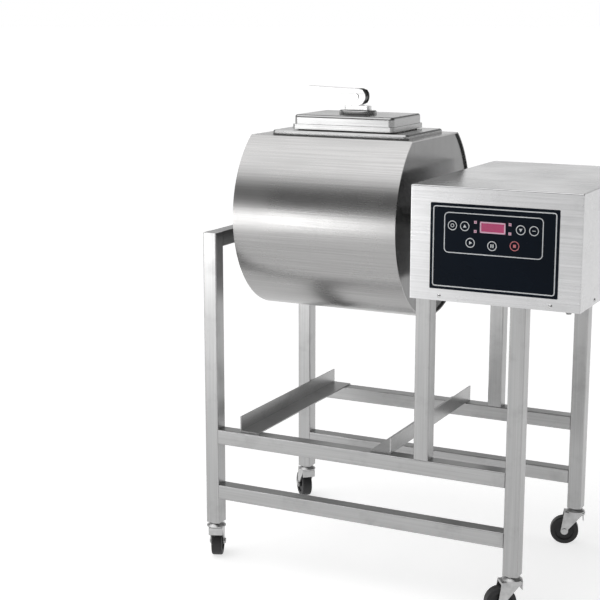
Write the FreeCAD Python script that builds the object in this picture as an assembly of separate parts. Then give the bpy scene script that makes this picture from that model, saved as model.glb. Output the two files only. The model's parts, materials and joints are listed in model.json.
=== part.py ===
import FreeCAD, Part
import math, os

# Meat vacuum tumbler. Millimetres. While building: X to the right, Y to the back, Z up,
# with x = y = 0 at the front left post's outer corner and z = 0 on the floor.
V = FreeCAD.Vector
X, Y, Z = V(1, 0, 0), V(0, 1, 0), V(0, 0, 1)

# ---------------------------------------------------------------- driving dimensions
P = 38.0                     # square tube
TW = 1.5                     # tube wall
W, D = 850.0, 570.0          # over the posts
ZB = 103.0                   # underside of the posts: a 75 mm wheel caster below it
ZL, ZU = 171.0, 320.0        # undersides of the lower and upper rails
ZT = 870.0                   # top of the left posts and crossbar
XM = 580.0                   # left face of the middle posts
ZP = 757.0                   # top of the middle and right posts

AX_Y, AX_Z = D / 2, ZT + 36.5   # drum axis, on a pillow block 36.5 mm high

R, T = 254.0, 3.0            # drum radius and sheet
DX0, DX1 = 70.0, 512.0       # drum rims
LIP = 5.0                    # rim standing past each end plate
TE = 4.0                     # end plate
FLAT = 202.0                 # the shell's flat top above the axis
ZF = AX_Z + FLAT

XH = 297.0                   # hatch centre
MOUTH = (250.0, 150.0)       # way in
FLG = (376.0, 238.0, 11.0)   # hatch flange
SEAL = (274.0, 174.0, 3.0)
BAND = (282.0, 194.0, 12.0)  # lid's base band
PAN = (275.0, 187.0, 24.0)   # lid's raised pan
ZS = ZF + FLG[2]             # seal
ZK = ZS + SEAL[2]            # lid
ZD = ZK + BAND[2] + PAN[2]   # lid's top
PED = (100.0, 56.0, 9.5)
PAD = (70.0, 21.4, 11.6)
PIN_R = 5.0
CAM_R, CAM_DX, CAM_DZ = 21.2, -1.3, -1.2   # cam circle, and its centre from the pin
PIN_Z = ZD + PED[2] + PAD[2] + 0.2 + math.sqrt(CAM_R**2 - CAM_DX**2) - CAM_DZ
DRAW = 2.5                   # the stem drops this far as the lever is raised
STEM_R = 7.0
BAR = (30.0, 196.0, 12.0)
RUN = 0.05                   # radial running clearance

BX0, BX1, BY0, BY1, BZ0, BZ1 = 565.0, 977.0, -4.0, 574.0, 755.0, 1024.0
TC, TB = 1.5, 2.0            # cover and base pan sheets
RB = 3.0                     # cover's outer bend
SCREW_Z = 765.5
SCREWS = [(640, BY0, 0, -1), (908, BY0, 0, -1), (640, BY1, 0, 1), (908, BY1, 0, 1),
          (BX1, 113.5, 1, 0), (BX1, 456.5, 1, 0), (BX0, 113.5, -1, 0), (BX0, 456.5, -1, 0)]

PAN_X, PAN_Z, PAN_T = (616.0, 924.0), (783.0, 985.0), 1.2
KEY_R, KEY_T, KEY_OUT, KEY_GO = 11.5, 1.2, 0.6, 0.5
KEYS = [("key_a", 670.5, 934.3), ("key_up", 700.5, 934.3), ("key_down", 834.0, 934.3), ("key_b", 865.0, 934.3),
        ("key_c", 714.5, 896.8), ("key_d", 767.2, 893.0), ("key_e", 820.5, 896.8)]
DISP = (737.0, 798.0, 921.5, 947.5)
LEDS = [(x, z) for x in (726.0, 808.5) for z in (924.0, 945.0)]
LED = 6.5

SH_R, SH_L = 17.5, 12.5      # drive and stub shafts
BORE = 6.0                   # vacuum way through the drive shaft
PB_X = 624.0                 # right pillow block
GB = (695.0, 805.0)          # gearbox across X
MO_Z = AX_Z - 63.0           # motor axis
UX0, UX1 = 822.0, 870.0      # rotary union
PORT = (855.0, 120.0, 880.0) # top of the pump's inlet

WH_R, WH_W, TRAIL, AXLE = 37.5, 28.0, 28.0, 5.0
POSTS = {"front_left": (0, 0), "rear_left": (0, D - P), "front_right": (W - P, 0), "rear_right": (W - P, D - P)}
SWIVEL = {"front_left": 113.0, "rear_left": 133.0, "front_right": 216.0, "rear_right": 198.0}

ORIGIN = V(472.66, 288.78, 0)  # the row's origin, in building coordinates


# ---------------------------------------------------------------- helpers
def box(x0, x1, y0, y1, z0, z1):
    return Part.makeBox(x1 - x0, y1 - y0, z1 - z0, V(x0, y0, z0))


def cyl(r, p, d, h):
    return Part.makeCylinder(r, h, V(*p), d)


def edges_along(shape, d, keep=None):
    out = []
    for e in shape.Edges:
        if len(e.Vertexes) != 2:
            continue
        v = e.Vertexes[1].Point.sub(e.Vertexes[0].Point)
        if v.Length > 1e-6 and v.cross(d).Length < 1e-6 * v.Length and (keep is None or keep(e.CenterOfMass)):
            out.append(e)
    return out


def round_box(x0, x1, y0, y1, z0, z1, r, d=Z):
    b = box(x0, x1, y0, y1, z0, z1)
    return b.makeFillet(r, edges_along(b, d))


def plate(cx, cy, lx, ly, z0, h, r):
    return round_box(cx - lx / 2, cx + lx / 2, cy - ly / 2, cy + ly / 2, z0, z0 + h, r)


def tube(x0, x1, y0, y1, z0, z1, d):
    o = round_box(x0, x1, y0, y1, z0, z1, 2 * TW, d)
    g = [TW if d.x == 0 else 0, TW if d.y == 0 else 0, TW if d.z == 0 else 0]
    e = [5.0 if k == 0 else 0.0 for k in g]
    i = round_box(x0 + g[0] - e[0], x1 - g[0] + e[0], y0 + g[1] - e[1], y1 - g[1] + e[1],
                  z0 + g[2] - e[2], z1 - g[2] + e[2], TW, d)
    return o.cut(i)


def face(points):
    p = [V(*q) for q in points]
    return Part.Face(Part.makePolygon(p + [p[0]]))


def hexagon(af, p, h):
    a = af / math.sqrt(3)
    return face([(p[0] + a * math.cos(math.radians(60 * k)), p[1] + a * math.sin(math.radians(60 * k)), p[2])
                 for k in range(6)]).extrude(V(0, 0, h))


def one(shape):
    s = shape.removeSplitter()
    return s.Solids[0] if len(s.Solids) == 1 else s


# ---------------------------------------------------------------- frame
def post(x, y, top, closed):
    s = tube(x, x + P, y, y + P, ZB, top, Z)
    inner = lambda z, h: box(x + TW / 2, x + P - TW / 2, y + TW / 2, y + P - TW / 2, z, z + h)
    s = s.fuse(inner(ZB, 6).common(round_box(x, x + P, y, y + P, ZB, ZB + 6, 2 * TW)))
    s = s.cut(cyl(6, (x + P / 2, y + P / 2, ZB - 1), Z, 8))
    if closed:
        s = s.fuse(inner(top - 2, 2).common(round_box(x, x + P, y, y + P, top - 2, top, 2 * TW)))
    return one(s)


def middle_post(y):
    return tube(XM, XM + P, y, y + P, ZU + P, ZP, Z)


def rail(y, z):
    return tube(P, W - P, y, y + P, z, z + P, X)


def crossbar():
    s = tube(0, P, P, D - P, ZT - P, ZT, Y)
    for dy in (-52.5, 52.5):
        s = s.cut(cyl(5, (P / 2, AX_Y + dy, ZT - 5), Z, 10))
    return s


def runner(x_leg, side):
    z = ZU + P
    x_flat = x_leg + side * 54
    s = box(min(x_leg, x_leg + side * 3), max(x_leg, x_leg + side * 3), 14, D, z, z + 40)
    s = s.fuse(box(min(x_leg, x_flat), max(x_leg, x_flat), 14, D, z, z + 3))
    return one(s)


# ---------------------------------------------------------------- control box
def screw_at(x, y, nx, ny):
    n = V(nx, ny, 0)
    p = V(x, y, SCREW_Z)
    head = Part.makeSphere(6.2).common(cyl(4.7, (0, 0, 3.6), Z, 4)).cut(box(-6, 6, -0.6, 0.6, 5.6, 8))
    head = head.fuse(cyl(2.5, (0, 0, -5.4), Z, 9.5))
    head.translate(V(0, 0, -3.6))
    head.Placement = FreeCAD.Placement(p, FreeCAD.Rotation(Z, n)).multiply(head.Placement)
    return one(head)


def box_cover():
    o = box(BX0, BX1, BY0, BY1, BZ0, BZ1)
    o = o.makeFillet(RB, edges_along(o, Z) + [e for e in edges_along(o, X) + edges_along(o, Y) if e.CenterOfMass.z > BZ1 - 1])
    i = box(BX0 + TC, BX1 - TC, BY0 + TC, BY1 - TC, BZ0 - 10, BZ1 - TC)
    i = i.makeFillet(RB - TC, edges_along(i, Z) + [e for e in edges_along(i, X) + edges_along(i, Y) if e.CenterOfMass.z > BZ1 - 5])
    s = o.cut(i).cut(cyl(30, (BX0 - 5, AX_Y, AX_Z), X, 20))
    for x, y, nx, ny in SCREWS:
        s = s.cut(cyl(2.7, (x - 4 * nx, y - 4 * ny, SCREW_Z), V(nx, ny, 0), 8))
    for _, x, z in KEYS:
        s = s.cut(cyl(4.5, (x, BY0 - 5, z), Y, 12))
    s = s.cut(box(DISP[0] + 2, DISP[1] - 2, BY0 - 5, BY0 + 5, DISP[2] + 2, DISP[3] - 2))
    for x, z in LEDS:
        s = s.cut(cyl(2, (x, BY0 - 5, z), Y, 12))
    return one(s)


def box_base():
    x0, x1, y0, y1 = BX0 + TC, BX1 - TC, BY0 + TC, BY1 - TC
    s = round_box(x0, x1, y0, y1, ZP, ZP + 24, RB - TC)
    s = s.cut(box(x0 + TB, x1 - TB, y0 + TB, y1 - TB, ZP + TB, ZP + 40))
    for x, y, nx, ny in SCREWS:
        s = s.cut(cyl(2.5, (x - 8 * nx, y - 8 * ny, SCREW_Z), V(nx, ny, 0), 12))
    return one(s.cut(cyl(6, (943, 24, ZP - 5), Z, 10)))


def cable_gland():
    s = cyl(7.5, (943, 24, ZP - 7), Z, 7).fuse(cyl(6, (943, 24, ZP), Z, TB)).fuse(cyl(7.5, (943, 24, ZP + TB), Z, 4))
    s = s.fuse(Part.makeCone(5.6, 7.5, 4, V(943, 24, ZP - 11), Z))
    return one(s.cut(cyl(4, (943, 24, ZP - 20), Z, 40)))


def panel():
    y0 = BY0 - PAN_T
    s = round_box(PAN_X[0], PAN_X[1], y0, BY0, PAN_Z[0], PAN_Z[1], 2, Y)
    for _, x, z in KEYS:
        s = s.cut(cyl(KEY_R + 0.3, (x, y0 - 1, z), Y, 5))
    s = s.cut(box(DISP[0], DISP[1], y0 - 1, BY0 + 1, DISP[2], DISP[3]))
    for x, z in LEDS:
        s = s.cut(box(x - LED / 2, x + LED / 2, y0 - 1, BY0 + 1, z - LED / 2, z + LED / 2))
    return s


def display():
    return box(DISP[0], DISP[1], BY0 - PAN_T - 0.3, BY0, DISP[2], DISP[3])


def leds():
    return Part.makeCompound([box(x - LED / 2, x + LED / 2, BY0 - PAN_T - 0.3, BY0, z - LED / 2, z + LED / 2) for x, z in LEDS])


def key(x, z):
    y0 = BY0 - PAN_T - KEY_OUT
    s = cyl(KEY_R, (x, y0, z), Y, KEY_T)
    s = s.makeFillet(0.4, [e for e in s.Edges if e.CenterOfMass.y < y0 + 0.1 and len(e.Vertexes) == 1])
    return one(s.fuse(cyl(4, (x, y0 + KEY_T, z), Y, 5)))


def control_board():
    s = box(650, 890, 5, 6.6, 870, 965)
    for x, z in [(655, 875), (885, 875), (655, 960), (885, 960)]:
        s = s.fuse(cyl(3, (x, BY0 + TC, z), Y, 5 - BY0 - TC))
    for _, x, z in KEYS:
        s = s.fuse(box(x - 6, x + 6, 1.4, 5, z - 6, z + 6))
    s = s.fuse(box(742, 793, -2.3, 5, 925, 944))
    return one(s.fuse(box(690, 730, 6.6, 22, 875, 900)).fuse(box(760, 830, 6.6, 30, 872, 905)))


# ---------------------------------------------------------------- drive and vacuum
def pillow(cx, base_z, length, width, bore, spacing, rh):
    s = round_box(cx - width / 2, cx + width / 2, AX_Y - length / 2, AX_Y + length / 2, base_z, base_z + 14, 6)
    s = s.fuse(cyl(rh, (cx - width / 2 + 2, AX_Y, AX_Z), X, width - 4))
    web = face([(cx - width / 2 + 2, AX_Y - rh, AX_Z), (cx - width / 2 + 2, AX_Y - rh - 6, base_z + 10),
                (cx - width / 2 + 2, AX_Y + rh + 6, base_z + 10), (cx - width / 2 + 2, AX_Y + rh, AX_Z)]).extrude(V(width - 4, 0, 0))
    s = s.fuse(web).fuse(cyl(bore + 5, (cx - width / 2 - 3, AX_Y, AX_Z), X, width + 6))
    s = s.cut(cyl(bore + RUN, (cx - 60, AX_Y, AX_Z), X, 120))
    for dy in (-spacing / 2, spacing / 2):
        s = s.cut(cyl(5, (cx, AX_Y + dy, base_z - 1), Z, 20))
    return one(s)


def pillow_bolts():
    out = []
    for cx, zb, sp in [(P / 2, ZT, 105.0), (PB_X, AX_Z - 47.6, 127.0)]:
        for dy in (-sp / 2, sp / 2):
            p = (cx, AX_Y + dy, zb + 14)
            out.append(one(hexagon(16, p, 6.4).fuse(cyl(5, (p[0], p[1], zb - 10), Z, 24))))
    return Part.makeCompound(out)


def stub_shaft():
    s = cyl(SH_L, (-4, AX_Y, AX_Z), X, DX0 + LIP + TE + 8 + 4)
    return one(s.fuse(cyl(52, (DX0 + LIP - 8, AX_Y, AX_Z), X, 8)))


def drive_shaft():
    x0 = DX1 - LIP
    s = cyl(SH_R, (x0 - TE - 8, AX_Y, AX_Z), X, 815 - (x0 - TE - 8))
    s = s.fuse(cyl(60, (x0, AX_Y, AX_Z), X, 8)).fuse(cyl(10, (815, AX_Y, AX_Z), X, 28))
    return one(s.cut(cyl(BORE, (400, AX_Y, AX_Z), X, 500)))


def rotary_union():
    s = cyl(22, (UX0, AX_Y, AX_Z), X, UX1 - UX0)
    s = s.fuse(cyl(11, (PORT[0], AX_Y, AX_Z), -Y, 40))
    s = s.cut(cyl(10 + RUN, (UX0 - 1, AX_Y, AX_Z), X, 23))
    s = s.cut(cyl(BORE, (UX0, AX_Y, AX_Z), X, PORT[0] - UX0)).cut(cyl(4.5, (PORT[0], AX_Y, AX_Z), -Y, 50))
    return one(s)


def gear_motor():
    x0, x1 = GB
    xm = (x0 + x1) / 2
    s = round_box(x0 + 8, x1 - 8, AX_Y - 62, AX_Y + 62, MO_Z - 46, AX_Z + 62, 14, X)
    s = s.fuse(cyl(42, (x0, AX_Y, AX_Z), X, x1 - x0))
    s = s.fuse(cyl(50, (xm, AX_Y + 60, MO_Z), Y, 14)).fuse(cyl(44, (xm, AX_Y + 70, MO_Z), Y, 190))
    for k in range(9):
        s = s.fuse(cyl(52, (xm, AX_Y + 84 + 14 * k, MO_Z), Y, 4))
    s = s.fuse(cyl(54, (xm, AX_Y + 212, MO_Z), Y, 48)).fuse(box(xm - 32, xm + 32, AX_Y + 110, AX_Y + 180, MO_Z + 40, MO_Z + 72))
    return one(s.cut(cyl(SH_R + RUN, (x0 - 5, AX_Y, AX_Z), X, x1 - x0 + 10)))


def drive_stand():
    z0, zt, zg = ZP + TB, AX_Z - 47.6, MO_Z - 46
    s = box(588, 812, AX_Y - 95, AX_Y + 95, z0, z0 + 6)
    s = s.fuse(box(PB_X - 27, PB_X + 27, AX_Y - 90, AX_Y + 90, z0, zt).cut(box(PB_X - 40, PB_X + 40, AX_Y - 84, AX_Y + 84, z0 + 6, zt - 8)))
    s = s.fuse(box(GB[0] + 12, GB[1] - 12, AX_Y - 50, AX_Y + 50, z0, zg).cut(box(GB[0], GB[1], AX_Y - 44, AX_Y + 44, z0 + 6, zg - 6)))
    for dy in (-63.5, 63.5):
        s = s.cut(cyl(5, (PB_X, AX_Y + dy, zt - 12), Z, 20))
    return one(s)


def vacuum_pump():
    z0 = ZP + TB
    px, py, pz = PORT
    s = round_box(px - 62, px + 48, py - 58, py + 58, z0 + 8, pz - 12, 8, Z)
    s = s.fuse(cyl(12, (px, py, pz - 14), Z, 14))
    s = s.fuse(cyl(50, (px - 225, py, z0 + 62), X, 170)).fuse(box(px - 200, px - 150, py - 45, py + 45, z0, z0 + 30))
    s = s.fuse(box(px - 50, px + 36, py - 50, py + 50, z0, z0 + 12)).fuse(box(px - 170, px - 120, py - 25, py + 25, z0 + 100, z0 + 128))
    return one(s.cut(cyl(4.5, (px, py, pz - 30), Z, 40)))


def vacuum_pipe():
    px, py, pz = PORT
    b = 18.0
    def run(r):
        a = cyl(r, (px, AX_Y - 40, AX_Z), -Y, AX_Y - 40 - py - b)
        e = Part.makeTorus(b, r, V(px, py + b, AX_Z - b), X).common(box(px - 20, px + 20, py - 20, py + b, AX_Z - b, AX_Z + 20))
        c = cyl(r, (px, py, pz), Z, AX_Z - b - pz)
        return a.fuse(e).fuse(c)
    return one(run(6).cut(run(4.5)))


# ---------------------------------------------------------------- drum
def drum_section(r, h, x0, x1):
    c = cyl(r, (x0, AX_Y, AX_Z), X, x1 - x0)
    return c.cut(box(x0 - 1, x1 + 1, AX_Y - r - 1, AX_Y + r + 1, AX_Z + h, AX_Z + r + 1))


def drum_shell():
    s = drum_section(R, FLAT, DX0, DX1).cut(drum_section(R - T, FLAT - T, DX0 - 1, DX1 + 1))
    return one(s.cut(plate(XH, AX_Y, MOUTH[0], MOUTH[1], ZF - 20, 40, 18)))


def drum_end(x0, hole):
    s = drum_section(R - T, FLAT - T, x0, x0 + TE)
    return one(s.cut(cyl(hole, (x0 - 5, AX_Y, AX_Z), X, 20)))


def baffles():
    out = []
    for a in (90, 180, 270):
        b = box(95, 487, AX_Y - 1.5, AX_Y + 1.5, AX_Z + R - T - 48, AX_Z + R - T)
        b = b.common(cyl(R - T, (90, AX_Y, AX_Z), X, 400))
        b.rotate(V(0, AX_Y, AX_Z), X, a)
        out.append(b)
    return Part.makeCompound(out)


# ---------------------------------------------------------------- hatch and lock
def hatch_flange():
    s = plate(XH, AX_Y, FLG[0], FLG[1], ZF, FLG[2], 12)
    s = s.makeChamfer(4, [e for e in s.Edges if e.CenterOfMass.z > ZS - 0.1])
    return one(s.cut(plate(XH, AX_Y, MOUTH[0], MOUTH[1], ZF - 5, 40, 18)))


def hatch_seal():
    return plate(XH, AX_Y, SEAL[0], SEAL[1], ZS, SEAL[2], 26).cut(plate(XH, AX_Y, MOUTH[0] + 2, MOUTH[1] + 2, ZS - 5, 20, 19))


def lid():
    s = plate(XH, AX_Y, BAND[0], BAND[1], ZK, BAND[2], 10)
    p = plate(XH, AX_Y, PAN[0], PAN[1], ZK + BAND[2], PAN[2], 12)
    p = p.makeFillet(7, [e for e in p.Edges if e.CenterOfMass.z > ZD - 0.1])
    s = s.fuse(p)
    inner = plate(XH, AX_Y, PAN[0] - 5, PAN[1] - 5, ZK + 3, ZD - ZK - 5.5, 10)
    s = s.cut(inner.cut(cyl(16, (XH, AX_Y, ZK), Z, 60)))
    return one(s.cut(cyl(STEM_R + RUN, (XH, AX_Y, ZK - 5), Z, 60)))


def lid_pedestal():
    s = plate(XH, AX_Y, PED[0], PED[1], ZD, PED[2], PED[1] / 2 - 0.5)
    s = s.makeFillet(4, [e for e in s.Edges if e.CenterOfMass.z > ZD + PED[2] - 0.1])
    return one(s.cut(cyl(STEM_R + RUN, (XH, AX_Y, ZD - 5), Z, 30)))


def lock_pad():
    z = ZD + PED[2]
    s = plate(XH, AX_Y, PAD[0], PAD[1], z, PAD[2], 6)
    return one(s.cut(cyl(STEM_R + RUN, (XH, AX_Y, z - 5), Z, 30)))


def lock_stem():
    zb = ZF - T - 0.3
    s = cyl(STEM_R, (XH, AX_Y, zb - BAR[2] - 6), Z, PIN_Z - 4 - zb + BAR[2] + 6)
    eye = cyl(12, (XH, AX_Y - 4.9, PIN_Z), Y, 9.8)
    cut = box(XH - 20, XH + 20, AX_Y + 4.9, AX_Y + 20, ZD + PED[2] + PAD[2] - 3, PIN_Z + 20)
    cut = cut.fuse(box(XH - 20, XH + 20, AX_Y - 20, AX_Y - 4.9, ZD + PED[2] + PAD[2] - 3, PIN_Z + 20))
    return one(s.cut(cut).fuse(eye).cut(cyl(PIN_R + RUN, (XH, AX_Y - 20, PIN_Z), Y, 40)))


def lock_bar():
    zt = ZF - T - 0.3
    s = plate(XH, AX_Y, BAR[0], BAR[1], zt - BAR[2], BAR[2], 8)
    return one(s.cut(cyl(STEM_R, (XH, AX_Y, zt - 30), Z, 40)))


def lever():
    def side(pts, y0, y1):
        f = face([(XH + x, y0, PIN_Z + z) for x, z in pts])
        return f.extrude(V(0, y1 - y0, 0))
    out = [(-140, 0), (-60, -9), (-18, -21.5), (8, -21.5), (19, -17), (25, -8), (26, 0), (25, 8), (19, 17), (8, 20.5), (-24, 20.5), (-140, 24.5)]
    s = side(out, AX_Y - 15, AX_Y + 15)
    inner = [(-136, 4), (-60, -30), (40, -30), (40, 30), (2, 30), (-6, 16.2), (-24, 16.6), (-136, 20.4)]
    s = s.cut(side(inner, AX_Y - 11, AX_Y + 11))
    c = cyl(CAM_R, (XH + CAM_DX, AX_Y - 11.5, PIN_Z + CAM_DZ), Y, 23)
    arm = side([(-36, 17), (-30, 4), (-12, -6), (-6, 17)], AX_Y - 11.5, AX_Y + 11.5)
    c = c.fuse(arm).common(side([(-40, -40), (40, -40), (40, 20.5), (-24, 20.5), (-40, 20.5)], AX_Y - 12, AX_Y + 12))
    s = s.fuse(c).cut(box(XH - 30, XH + 40, AX_Y - 5.2, AX_Y + 5.2, PIN_Z - 40, PIN_Z + 16))
    return one(s.cut(cyl(PIN_R, (XH, AX_Y - 30, PIN_Z), Y, 60)))


def lever_pin():
    s = cyl(PIN_R, (XH, AX_Y - 16.5, PIN_Z), Y, 33)
    s = s.fuse(cyl(8, (XH, AX_Y - 18, PIN_Z), Y, 3)).fuse(cyl(8, (XH, AX_Y + 15, PIN_Z), Y, 3))
    return one(s.cut(cyl(3.2, (XH, AX_Y - 19, PIN_Z), Y, 2.4)))


# ---------------------------------------------------------------- casters
def place(shape, which):
    x, y = POSTS[which]
    s = shape.copy()
    s.rotate(V(0, 0, 0), Z, SWIVEL[which])
    s.translate(V(x + P / 2, y + P / 2, 0))
    return s


def caster_head():
    s = cyl(6, (0, 0, ZB), Z, 24).fuse(cyl(15, (0, 0, ZB - 4), Z, 4))
    s = s.fuse(Part.makeCone(25, 17, 6, V(0, 0, ZB - 10), Z)).fuse(cyl(25, (0, 0, ZB - 13), Z, 3))
    return one(s.fuse(cyl(6, (0, 0, 82.5), Z, ZB - 13 - 82.5)).fuse(cyl(10, (0, 0, 79.5), Z, 3)))


def fork():
    zc, t = ZB - 13.4, 2.5
    yo = WH_W / 2 + 1.6
    crown = cyl(26, (0, 0, zc - 6), Z, 6).fuse(box(0, 30, -yo - t, yo + t, zc - 6, zc))
    crown = crown.cut(box(-40, 40, -60, -yo - t, 0, 200)).cut(box(-40, 40, yo + t, 60, 0, 200))
    leg = face([(-22, 0, zc), (30, 0, zc), (TRAIL + 10, 0, WH_R), (TRAIL, 0, WH_R - 4), (TRAIL - 9.2, 0, WH_R + 4)]).extrude(V(0, t, 0))
    leg = leg.fuse(cyl(10, (TRAIL, 0, WH_R), Y, t))
    l0, l1 = leg.copy(), leg.copy()
    l0.translate(V(0, -yo - t, 0))
    l1.translate(V(0, yo, 0))
    s = crown.fuse(l0).fuse(l1).fuse(box(-22, -19.5, -yo - t, yo + t, 70, zc))
    s = s.cut(cyl(6 + 0.1, (0, 0, 60), Z, 60)).cut(cyl(10.4, (0, 0, 60), Z, 82.9 - 60))
    s = s.fuse(cyl(AXLE, (TRAIL, -yo - t - 2, WH_R), Y, 2 * (yo + t + 2)))
    for y0 in (-yo - t - 3, yo + t):
        s = s.fuse(cyl(7, (TRAIL, y0, WH_R), Y, 3))
    return one(s)


def wheel():
    s = cyl(WH_R, (TRAIL, -WH_W / 2, WH_R), Y, WH_W)
    s = s.makeFillet(4, [e for e in s.Edges if len(e.Vertexes) == 1])
    for y0 in (-WH_W / 2, WH_W / 2 - 4):
        s = s.cut(cyl(26, (TRAIL, y0, WH_R), Y, 4)).fuse(cyl(10, (TRAIL, y0, WH_R), Y, 4))
    return one(s.cut(cyl(AXLE + RUN, (TRAIL, -40, WH_R), Y, 80)))


# ---------------------------------------------------------------- parts
PARTS = {
    "post_front_left": lambda: post(0, 0, ZT, True),
    "post_rear_left": lambda: post(0, D - P, ZT, True),
    "post_front_right": lambda: post(W - P, 0, ZP, False),
    "post_rear_right": lambda: post(W - P, D - P, ZP, False),
    "post_front_middle": lambda: middle_post(0),
    "post_rear_middle": lambda: middle_post(D - P),
    "rail_upper_front": lambda: rail(0, ZU),
    "rail_upper_rear": lambda: rail(D - P, ZU),
    "rail_lower_front": lambda: rail(0, ZL),
    "rail_lower_rear": lambda: rail(D - P, ZL),
    "crossbar_left": crossbar,
    "tray_runner_left": lambda: runner(96, 1),
    "tray_runner_right": lambda: runner(516, -1),
    "box_base": box_base,
    "box_cover": box_cover,
    "box_screws": lambda: Part.makeCompound([screw_at(*q) for q in SCREWS]),
    "cable_gland": cable_gland,
    "panel_overlay": panel,
    "display_window": display,
    "indicator_leds": leds,
    "control_board": control_board,
    "drive_stand": drive_stand,
    "gear_motor": gear_motor,
    "pillow_block_left": lambda: pillow(P / 2, ZT, 140, P, SH_L, 105.0, 33),
    "pillow_block_right": lambda: pillow(PB_X, AX_Z - 47.6, 167, 48, SH_R, 127.0, 43),
    "pillow_bolts": pillow_bolts,
    "rotary_union": rotary_union,
    "vacuum_pump": vacuum_pump,
    "vacuum_pipe": vacuum_pipe,
    "stub_shaft": stub_shaft,
    "drive_shaft": drive_shaft,
    "drum_shell": drum_shell,
    "drum_end_left": lambda: drum_end(DX0 + LIP, SH_L),
    "drum_end_right": lambda: drum_end(DX1 - LIP - TE, SH_R),
    "drum_baffles": baffles,
    "hatch_flange": hatch_flange,
    "hatch_seal": hatch_seal,
    "lid": lid,
    "lid_pedestal": lid_pedestal,
    "lock_pad": lock_pad,
    "lock_stem": lock_stem,
    "lock_bar": lock_bar,
    "lever": lever,
    "lever_pin": lever_pin,
    "caster_heads": lambda: Part.makeCompound([place(caster_head(), k) for k in POSTS]),
}
for name, kx, kz in KEYS:
    PARTS[name] = lambda kx=kx, kz=kz: key(kx, kz)
for k in POSTS:
    PARTS["fork_" + k] = lambda k=k: place(fork(), k)
    PARTS["wheel_" + k] = lambda k=k: place(wheel(), k)

os.makedirs("parts", exist_ok=True)
for name, make in PARTS.items():
    shape = make()
    shape.translate(-ORIGIN)
    shape.exportStep("parts/%s.step" % name)
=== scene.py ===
import json
import math

import bmesh
import bpy
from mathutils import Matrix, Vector


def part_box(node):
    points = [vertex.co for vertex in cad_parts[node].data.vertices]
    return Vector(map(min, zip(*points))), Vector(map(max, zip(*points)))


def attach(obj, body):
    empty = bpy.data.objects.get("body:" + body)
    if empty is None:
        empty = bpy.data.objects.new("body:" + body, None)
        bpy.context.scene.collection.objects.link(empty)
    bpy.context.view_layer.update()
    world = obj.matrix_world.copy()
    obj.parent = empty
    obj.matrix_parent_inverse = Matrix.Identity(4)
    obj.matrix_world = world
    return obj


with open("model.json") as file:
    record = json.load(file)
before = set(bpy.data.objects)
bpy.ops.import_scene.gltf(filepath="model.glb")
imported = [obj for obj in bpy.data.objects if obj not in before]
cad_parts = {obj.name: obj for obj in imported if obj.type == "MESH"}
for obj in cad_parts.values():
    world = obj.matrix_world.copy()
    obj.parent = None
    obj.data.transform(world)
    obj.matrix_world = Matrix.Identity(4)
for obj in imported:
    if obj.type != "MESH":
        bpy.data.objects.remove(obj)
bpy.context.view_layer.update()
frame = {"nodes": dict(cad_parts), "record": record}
NODES = frame["nodes"]

# ---------------------------------------------------------------- camera
YAW, DOWN = 26.843, 11.532       # degrees: turned to the left, and looking down
EYE = (1.36324, -3.37338, 1.4270)
LENS = 86.28                     # on a 36 mm sensor

cam_data = bpy.data.cameras.new("camera")
cam_data.lens = LENS
cam_data.sensor_width = 36.0
cam_data.clip_end = 100.0
cam = bpy.data.objects.new("camera", cam_data)
cam.location = EYE
cam.rotation_euler = (math.radians(90 - DOWN), 0, math.radians(YAW))
bpy.context.scene.collection.objects.link(cam)
bpy.context.scene.camera = cam


# ---------------------------------------------------------------- materials
# Brushed grain: how much finer the hairlines are across it than along it.
ALONG, ACROSS = 3, 260
GRAINS = {
    "x": (ALONG, ACROSS, ACROSS),
    "y": (ACROSS, ALONG, ACROSS),
    "z": (ACROSS, ACROSS, ALONG),
    "none": (60, 60, 60),
}
STEEL_BUMP, PLASTIC_BUMP = 0.00012, 0.0001      # heights in metres
STEEL_CLOUD, STEEL_MARKS, PLASTIC_CLOUD = 4.0, 11.0, 9.0   # noise scales
COAT_ROUGHNESS = 0.08


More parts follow.
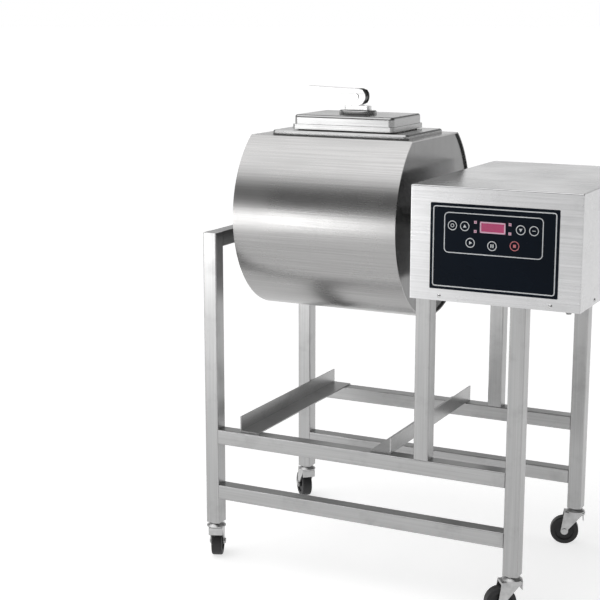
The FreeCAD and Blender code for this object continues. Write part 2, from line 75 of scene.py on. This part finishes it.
class Nodes:
    """A small helper round one material's node tree."""

    def __init__(self, name):
        self.mat = bpy.data.materials.new(name)
        self.mat.use_nodes = True
        self.tree = self.mat.node_tree
        self.shader = self.tree.nodes["Principled BSDF"]
        self.where = self.add("ShaderNodeTexCoord").outputs["Object"]

    def add(self, kind, **values):
        node = self.tree.nodes.new(kind)
        for key, value in values.items():
            setattr(node, key, value)
        return node

    def link(self, a, b):
        self.tree.links.new(a, b)

    def set(self, **values):
        for key, value in values.items():
            self.shader.inputs[key.replace("_", " ")].default_value = value

    def noise(self, scale, stretch=(1, 1, 1), detail=3.0, rough=0.55):
        m = self.add("ShaderNodeMapping")
        m.inputs["Scale"].default_value = stretch
        self.link(self.where, m.inputs["Vector"])
        n = self.add("ShaderNodeTexNoise")
        n.inputs["Scale"].default_value = scale
        n.inputs["Detail"].default_value = detail
        n.inputs["Roughness"].default_value = rough
        self.link(m.outputs["Vector"], n.inputs["Vector"])
        return n.outputs["Fac"]

    def ramp(self, fac, stops):
        r = self.add("ShaderNodeValToRGB")
        while len(r.color_ramp.elements) < len(stops):
            r.color_ramp.elements.new(0.5)
        for e, (pos, value) in zip(r.color_ramp.elements, stops):
            e.position = pos
            e.color = (*value, 1) if isinstance(value, tuple) else (value, value, value, 1)
        self.link(fac, r.inputs["Fac"])
        return r.outputs["Color"]

    def mix(self, fac, a, b, blend="MIX"):
        m = self.add("ShaderNodeMix", data_type="RGBA", blend_type=blend)
        for sock, v in ((m.inputs[0], fac), (m.inputs[6], a), (m.inputs[7], b)):
            if isinstance(v, (int, float)):
                sock.default_value = v
            elif isinstance(v, tuple):
                sock.default_value = (*v, 1)
            else:
                self.link(v, sock)
        return m.outputs[2]

    def bump(self, height, strength, distance):
        b = self.add("ShaderNodeBump")
        b.inputs["Strength"].default_value = strength
        b.inputs["Distance"].default_value = distance
        self.link(height, b.inputs["Height"])
        return b.outputs["Normal"]


def steel(name, tone, rough, grain="x", depth=0.25, smudge=0.10, tint=(1.0, 1.0, 1.0)):
    """Brushed stainless: hairlines along one axis, slow cloudiness and faint handling marks."""
    n = Nodes(name)
    stretch = GRAINS[grain]
    lines = n.noise(1.0, stretch, 2.0, 0.6)
    fine = n.noise(3.0, stretch, 1.0, 0.5)
    cloud = n.noise(STEEL_CLOUD, (1, 1, 1), 3.0, 0.5)
    marks = n.noise(STEEL_MARKS, (1, 1, 1), 4.0, 0.7)
    lo = tuple(tone * t * 0.90 for t in tint)
    hi = tuple(min(1.0, tone * t * 1.06) for t in tint)
    base = n.ramp(lines, [(0.30, lo), (0.70, hi)])
    worn = n.ramp(marks, [(0.52, 1.0), (0.72, 1.0 - smudge)])
    n.link(n.mix(1.0, base, worn, "MULTIPLY"), n.shader.inputs["Base Color"])
    r1 = n.ramp(cloud, [(0.3, rough - 0.04), (0.7, rough + 0.05)])
    r2 = n.ramp(lines, [(0.2, 0.04), (0.8, 0.0)])
    n.link(n.mix(1.0, r1, r2, "ADD"), n.shader.inputs["Roughness"])
    n.link(n.bump(fine, depth, STEEL_BUMP), n.shader.inputs["Normal"])
    n.set(Metallic=1.0)
    return n.mat


def plastic(name, colour, rough, grain=900.0, depth=0.2, coat=0.0, vary=0.12, gloss=0.5):
    """Plastic, paint, ink or rubber: fine grain, slow variation, and a coat where it is glossy."""
    n = Nodes(name)
    spots = n.noise(grain, (1, 1, 1), 2.0, 0.5)
    cloud = n.noise(PLASTIC_CLOUD, (1, 1, 1), 4.0, 0.6)
    lo = tuple(c * (1 - vary) for c in colour)
    hi = tuple(min(1.0, c * (1 + vary)) for c in colour)
    n.link(n.ramp(cloud, [(0.3, lo), (0.7, hi)]), n.shader.inputs["Base Color"])
    n.link(n.ramp(cloud, [(0.3, max(0.02, rough - 0.05)), (0.7, rough + 0.06)]), n.shader.inputs["Roughness"])
    n.link(n.bump(spots, depth, PLASTIC_BUMP), n.shader.inputs["Normal"])
    n.set(Coat_Weight=coat, Coat_Roughness=COAT_ROUGHNESS, Specular_IOR_Level=gloss)
    return n.mat


MATS = {
    "frame_steel": steel("frame_steel", 0.40, 0.30, "z", 0.30, 0.16),
    "rail_steel": steel("rail_steel", 0.40, 0.30, "x", 0.30, 0.16),
    "cross_steel": steel("cross_steel", 0.36, 0.30, "y", 0.30, 0.16),
    "plain_steel": steel("plain_steel", 0.42, 0.34, "x", 0.20, 0.14),
    "box_steel": steel("box_steel", 0.57, 0.24, "x", 0.22, 0.08, (1.0, 1.0, 1.01)),
    "fastener_steel": steel("fastener_steel", 0.62, 0.18, "none", 0.15, 0.2),
    "gland_plastic": plastic("gland_plastic", (0.42, 0.42, 0.42), 0.45),
    "panel_film": plastic("panel_film", (0.0022, 0.0060, 0.013), 0.26, 1500.0, 0.10, 0.0, 0.12, 0.07),
    "display_lens": plastic("display_lens", (0.52, 0.022, 0.15), 0.22, 1500.0, 0.05, 0.5),
    "led_lens": plastic("led_lens", (0.80, 0.50, 0.62), 0.25, 1500.0, 0.05, 0.5),
    "circuit_board": plastic("circuit_board", (0.02, 0.12, 0.05), 0.5),
    "motor_paint": plastic("motor_paint", (0.09, 0.16, 0.28), 0.4, 500.0, 0.4),
    "bearing_iron": plastic("bearing_iron", (0.16, 0.17, 0.18), 0.55, 350.0, 0.6),
    "brass_fitting": steel("brass_fitting", 0.75, 0.28, "none", 0.2, 0.2, (1.0, 0.74, 0.34)),
    "pump_paint": plastic("pump_paint", (0.20, 0.22, 0.24), 0.45, 500.0, 0.4),
    "pipe_steel": steel("pipe_steel", 0.62, 0.18, "none", 0.1, 0.1),
    "zinc_plate": steel("zinc_plate", 0.50, 0.34, "none", 0.25, 0.3),
    "wheel_rubber": plastic("wheel_rubber", (0.018, 0.018, 0.019), 0.55, 700.0, 0.35, 0.0, 0.35),
    "drum_steel": steel("drum_steel", 0.37, 0.24, "x", 0.16, 0.03, (1.0, 0.99, 0.985)),
    "end_steel": steel("end_steel", 0.20, 0.18, "z", 0.12, 0.10),
    "hatch_steel": steel("hatch_steel", 0.36, 0.22, "x", 0.16, 0.10),
    "seal_rubber": plastic("seal_rubber", (0.60, 0.60, 0.57), 0.6, 600.0, 0.3),
    "shaft_steel": steel("shaft_steel", 0.62, 0.22, "none", 0.12, 0.1),
    "lever_chrome": steel("lever_chrome", 0.42, 0.16, "x", 0.10, 0.10),
    "key_film": plastic("key_film", (0.0025, 0.0065, 0.014), 0.26, 1500.0, 0.10, 0.0, 0.12, 0.07),
}
slot_of = {s["node"]: s["material_slot"] for s in frame["record"]["subparts"]}
for name, obj in NODES.items():
    key = slot_of.get(name, "plain_steel")
    if name.startswith(("rail_", "tray_")):
        key = "rail_steel"
    if name.startswith("crossbar"):
        key = "cross_steel"
    for s in obj.material_slots:
        s.material = MATS[key]

# ---------------------------------------------------------------- panel print
INK = 0.00012                    # thickness of the print
(PANEL_X, PANEL_Y, PANEL_Z), (PANEL_X1, _, PANEL_Z1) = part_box("panel_overlay")
MM = 0.001


def round_rect(x0, z0, x1, z1, r, steps=6):
    points = []
    corners = ((x1 - r, z1 - r, 0), (x0 + r, z1 - r, 90), (x0 + r, z0 + r, 180), (x1 - r, z0 + r, 270))
    for cx, cz, start in corners:
        for i in range(steps + 1):
            t = math.radians(start + 90 * i / steps)
            points.append((cx + r * math.cos(t), cz + r * math.sin(t)))
    return points


def disc(x, z, r, steps=40, start=0.0):
    turns = [math.radians(start) + 2 * math.pi * i / steps for i in range(steps)]
    return [(x + r * math.cos(t), z + r * math.sin(t)) for t in turns]


def printed(name, shapes, mat, body, face):
    """Ink or a bezel on a face that looks to -Y: each shape is an outline and its hole, or None."""
    bm = bmesh.new()
    for outer, inner in shapes:
        a = [bm.verts.new((x, face - INK, z)) for x, z in outer]
        if inner is None:
            bm.faces.new(a)
            continue
        b = [bm.verts.new((x, face - INK, z)) for x, z in inner]
        for i in range(len(a)):
            j = (i + 1) % len(a)
            bm.faces.new((a[i], a[j], b[j], b[i]))
    grown = bmesh.ops.extrude_face_region(bm, geom=bm.faces[:])["geom"]
    moved = [v for v in grown if isinstance(v, bmesh.types.BMVert)]
    bmesh.ops.translate(bm, verts=moved, vec=(0, INK, 0))
    bmesh.ops.recalc_face_normals(bm, faces=bm.faces[:])
    me = bpy.data.meshes.new(name)
    bm.to_mesh(me)
    bm.free()
    obj = bpy.data.objects.new(name, me)
    bpy.context.scene.collection.objects.link(obj)
    me.materials.append(mat)
    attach(obj, body)


WHITE_INK = plastic("white_ink", (0.80, 0.82, 0.84), 0.4, 1500.0, 0.1)
RED_INK = plastic("red_ink", (0.70, 0.20, 0.22), 0.4, 1500.0, 0.1)
PINK = plastic("display_bezel", (0.82, 0.52, 0.66), 0.35, 1500.0, 0.1)
LIGHT_CORE = plastic("light_core", (0.42, 0.10, 0.22), 0.3, 1500.0, 0.05)
EDGE, LINE = 6.5 * MM, 2.6 * MM                   # outer line: from the panel's edge, and its width
EDGE_CORNER = 7 * MM
CONTROLS = (34 * MM, 87 * MM, 37 * MM, 20 * MM)   # inner line: left, bottom, right and top margins
CONTROLS_CORNER, CONTROLS_LINE = 11 * MM, 2.2 * MM
BEZEL_CORNER, BEZEL_WIDTH = 3.6 * MM, 3.2 * MM
CORE_R = 1.7 * MM                                 # dark centre of each indicator light
LIGHT_COLUMNS, LIGHT_ROWS = (110.0, 192.5), (141.0, 162.0)
RING_GAP, RING_IN = 0.3 * MM, 2.1 * MM            # key rings, from the key's rim


def border(x0, z0, x1, z1, r, line):
    hole = round_rect(x0 + line, z0 + line, x1 - line, z1 - line, r - line)
    return round_rect(x0, z0, x1, z1, r), hole


outer_line = border(PANEL_X + EDGE, PANEL_Z + EDGE, PANEL_X1 - EDGE, PANEL_Z1 - EDGE, EDGE_CORNER, LINE)
left, bottom, right, top = CONTROLS
inner_box = (PANEL_X + left, PANEL_Z + bottom, PANEL_X1 - right, PANEL_Z1 - top)
inner_line = border(*inner_box, CONTROLS_CORNER, CONTROLS_LINE)
printed("panel_lines", [outer_line, inner_line], WHITE_INK, "frame", PANEL_Y)

(dx0, dy0, dz0), (dx1, _, dz1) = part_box("display_window")
bezel = border(dx0, dz0, dx1, dz1, BEZEL_CORNER, BEZEL_WIDTH)
printed("display_bezel", [bezel], PINK, "frame", dy0)

(_, ly0, _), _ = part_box("indicator_leds")
spots = [(PANEL_X + x * MM, PANEL_Z + z * MM) for x in LIGHT_COLUMNS for z in LIGHT_ROWS]
cores = [(disc(x, z, CORE_R, 16), None) for x, z in spots]
printed("light_cores", cores, LIGHT_CORE, "frame", ly0)


def bars(x, z, places):
    """Filled rectangles round x, z; each place is its left, bottom, right and top in millimetres."""
    shapes = []
    for a, b, c, d in places:
        corners = ((a, b), (c, b), (c, d), (a, d))
        shapes.append(([(x + p * MM, z + q * MM) for p, q in corners], None))
    return shapes


for key in ("key_a", "key_up", "key_down", "key_b", "key_c", "key_d", "key_e"):
    (kx0, ky0, kz0), (kx1, _, kz1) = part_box(key)
    kx, kz, kr = (kx0 + kx1) / 2, (kz0 + kz1) / 2, (kx1 - kx0) / 2
    ink = RED_INK if key == "key_e" else WHITE_INK
    ring = (disc(kx, kz, kr - RING_GAP), disc(kx, kz, kr - RING_IN))
    icon = {
        "key_up": [(disc(kx, kz - 0.6 * MM, 5 * MM, 3, 90), None)],
        "key_down": [(disc(kx, kz + 0.6 * MM, 5 * MM, 3, 270), None)],
        "key_a": [(disc(kx, kz, 4.4 * MM, 24), disc(kx, kz, 3.0 * MM, 24))],
        "key_b": bars(kx, kz, [(-4, -0.8, 4, 0.8)]),
        "key_c": [(disc(kx, kz, 4.8 * MM, 3, 0), None)],
        "key_d": bars(kx, kz, [(-3.6, -4, -1.2, 4), (1.2, -4, 3.6, 4)]),
        "key_e": bars(kx, kz, [(-3.4, -3.4, 3.4, 3.4)]),
    }[key]
    printed("print_" + key, [ring] + icon, ink, key, ky0)

# ---------------------------------------------------------------- room
SKY_AXIS = (-0.36, -0.27, 0.89)   # the middle of the bright overhead part of the world
SKY_LOW, SKY_HIGH = 0.14, 1.95
SKY_SPAN = (0.74, 0.95)           # cosines to SKY_AXIS between which the world brightens
WALL_AXIS = (-0.45, 0.89, 0)      # towards the back, along the camera's view of the object
WALL = 1.0                        # the pale wall low down behind the object
FLOOR_RADIUS = 400.0
FLOOR_SHARE, FLOOR_GLOW = 0.55, 0.70   # lit colour, and the white added for rays that see the floor
LAMP_AT, LAMP_AIM = (-2.2, -3.3, 0.55), (0.1, -0.2, 0.75)
LAMP_SIZE, LAMP_WATTS = (1.5, 1.0), 17


def floor():
    bm = bmesh.new()
    bmesh.ops.create_circle(bm, cap_ends=True, segments=96, radius=FLOOR_RADIUS)
    me = bpy.data.meshes.new("floor")
    bm.to_mesh(me)
    bm.free()
    obj = bpy.data.objects.new("floor", me)
    bpy.context.scene.collection.objects.link(obj)
    n = Nodes("floor_white")
    path = n.add("ShaderNodeLightPath")
    seen = path.outputs["Is Camera Ray"]
    for other in ("Is Glossy Ray", "Is Transmission Ray"):
        both = n.add("ShaderNodeMath", operation="MAXIMUM")
        n.link(seen, both.inputs[0])
        n.link(path.outputs[other], both.inputs[1])
        seen = both.outputs[0]
    plain = n.ramp(n.noise(1.5), [(0.3, 0.79), (0.7, 0.81)])
    n.link(n.mix(seen, plain, (FLOOR_SHARE,) * 3), n.shader.inputs["Base Color"])
    glow = n.add("ShaderNodeMath", operation="MULTIPLY")
    n.link(seen, glow.inputs[0])
    glow.inputs[1].default_value = FLOOR_GLOW
    n.link(glow.outputs[0], n.shader.inputs["Emission Strength"])
    n.set(Roughness=0.9, Specular_IOR_Level=0.0, Emission_Color=(1, 1, 1, 1))
    obj.data.materials.append(n.mat)


floor()


def lamp(name, place, aim, size, power):
    d = bpy.data.lights.new(name, "AREA")
    d.shape = "RECTANGLE"
    d.size, d.size_y = size
    d.energy = power
    o = bpy.data.objects.new(name, d)
    o.location = place
    o.rotation_euler = (Vector(aim) - Vector(place)).to_track_quat("-Z", "Y").to_euler()
    o.visible_camera = False
    bpy.context.scene.collection.objects.link(o)


lamp("low_left", LAMP_AT, LAMP_AIM, LAMP_SIZE, LAMP_WATTS)

world = bpy.data.worlds.new("studio")
bpy.context.scene.world = world
world.use_nodes = True
wt = world.node_tree
where = wt.nodes.new("ShaderNodeTexCoord").outputs["Generated"]


def toward(axis, low, high, a, b):
    """A smooth value from a to b as the direction turns towards axis."""
    dot = wt.nodes.new("ShaderNodeVectorMath")
    dot.operation = "DOT_PRODUCT"
    wt.links.new(where, dot.inputs[0])
    dot.inputs[1].default_value = Vector(axis).normalized()
    span = wt.nodes.new("ShaderNodeMapRange")
    span.interpolation_type = "SMOOTHSTEP"
    wt.links.new(dot.outputs["Value"], span.inputs["Value"])
    for socket, value in (("From Min", low), ("From Max", high), ("To Min", a), ("To Max", b)):
        span.inputs[socket].default_value = value
    return span.outputs["Result"]


def join(kind, a, b):
    m = wt.nodes.new("ShaderNodeMath")
    m.operation = kind
    wt.links.new(a, m.inputs[0])
    wt.links.new(b, m.inputs[1])
    return m.outputs[0]


sky = toward(SKY_AXIS, *SKY_SPAN, SKY_LOW, SKY_HIGH)
behind = toward(WALL_AXIS, -0.05, 0.45, 0.0, WALL)
low_down = toward((0, 0, 1), 0.22, 0.42, 1.0, 0.0)
light = join("MAXIMUM", sky, join("MULTIPLY", behind, low_down))
wt.links.new(light, wt.nodes["Background"].inputs["Strength"])
wt.nodes["Background"].inputs["Color"].default_value = (1, 1, 1, 1)

bpy.context.scene.view_settings.view_transform = "Standard"
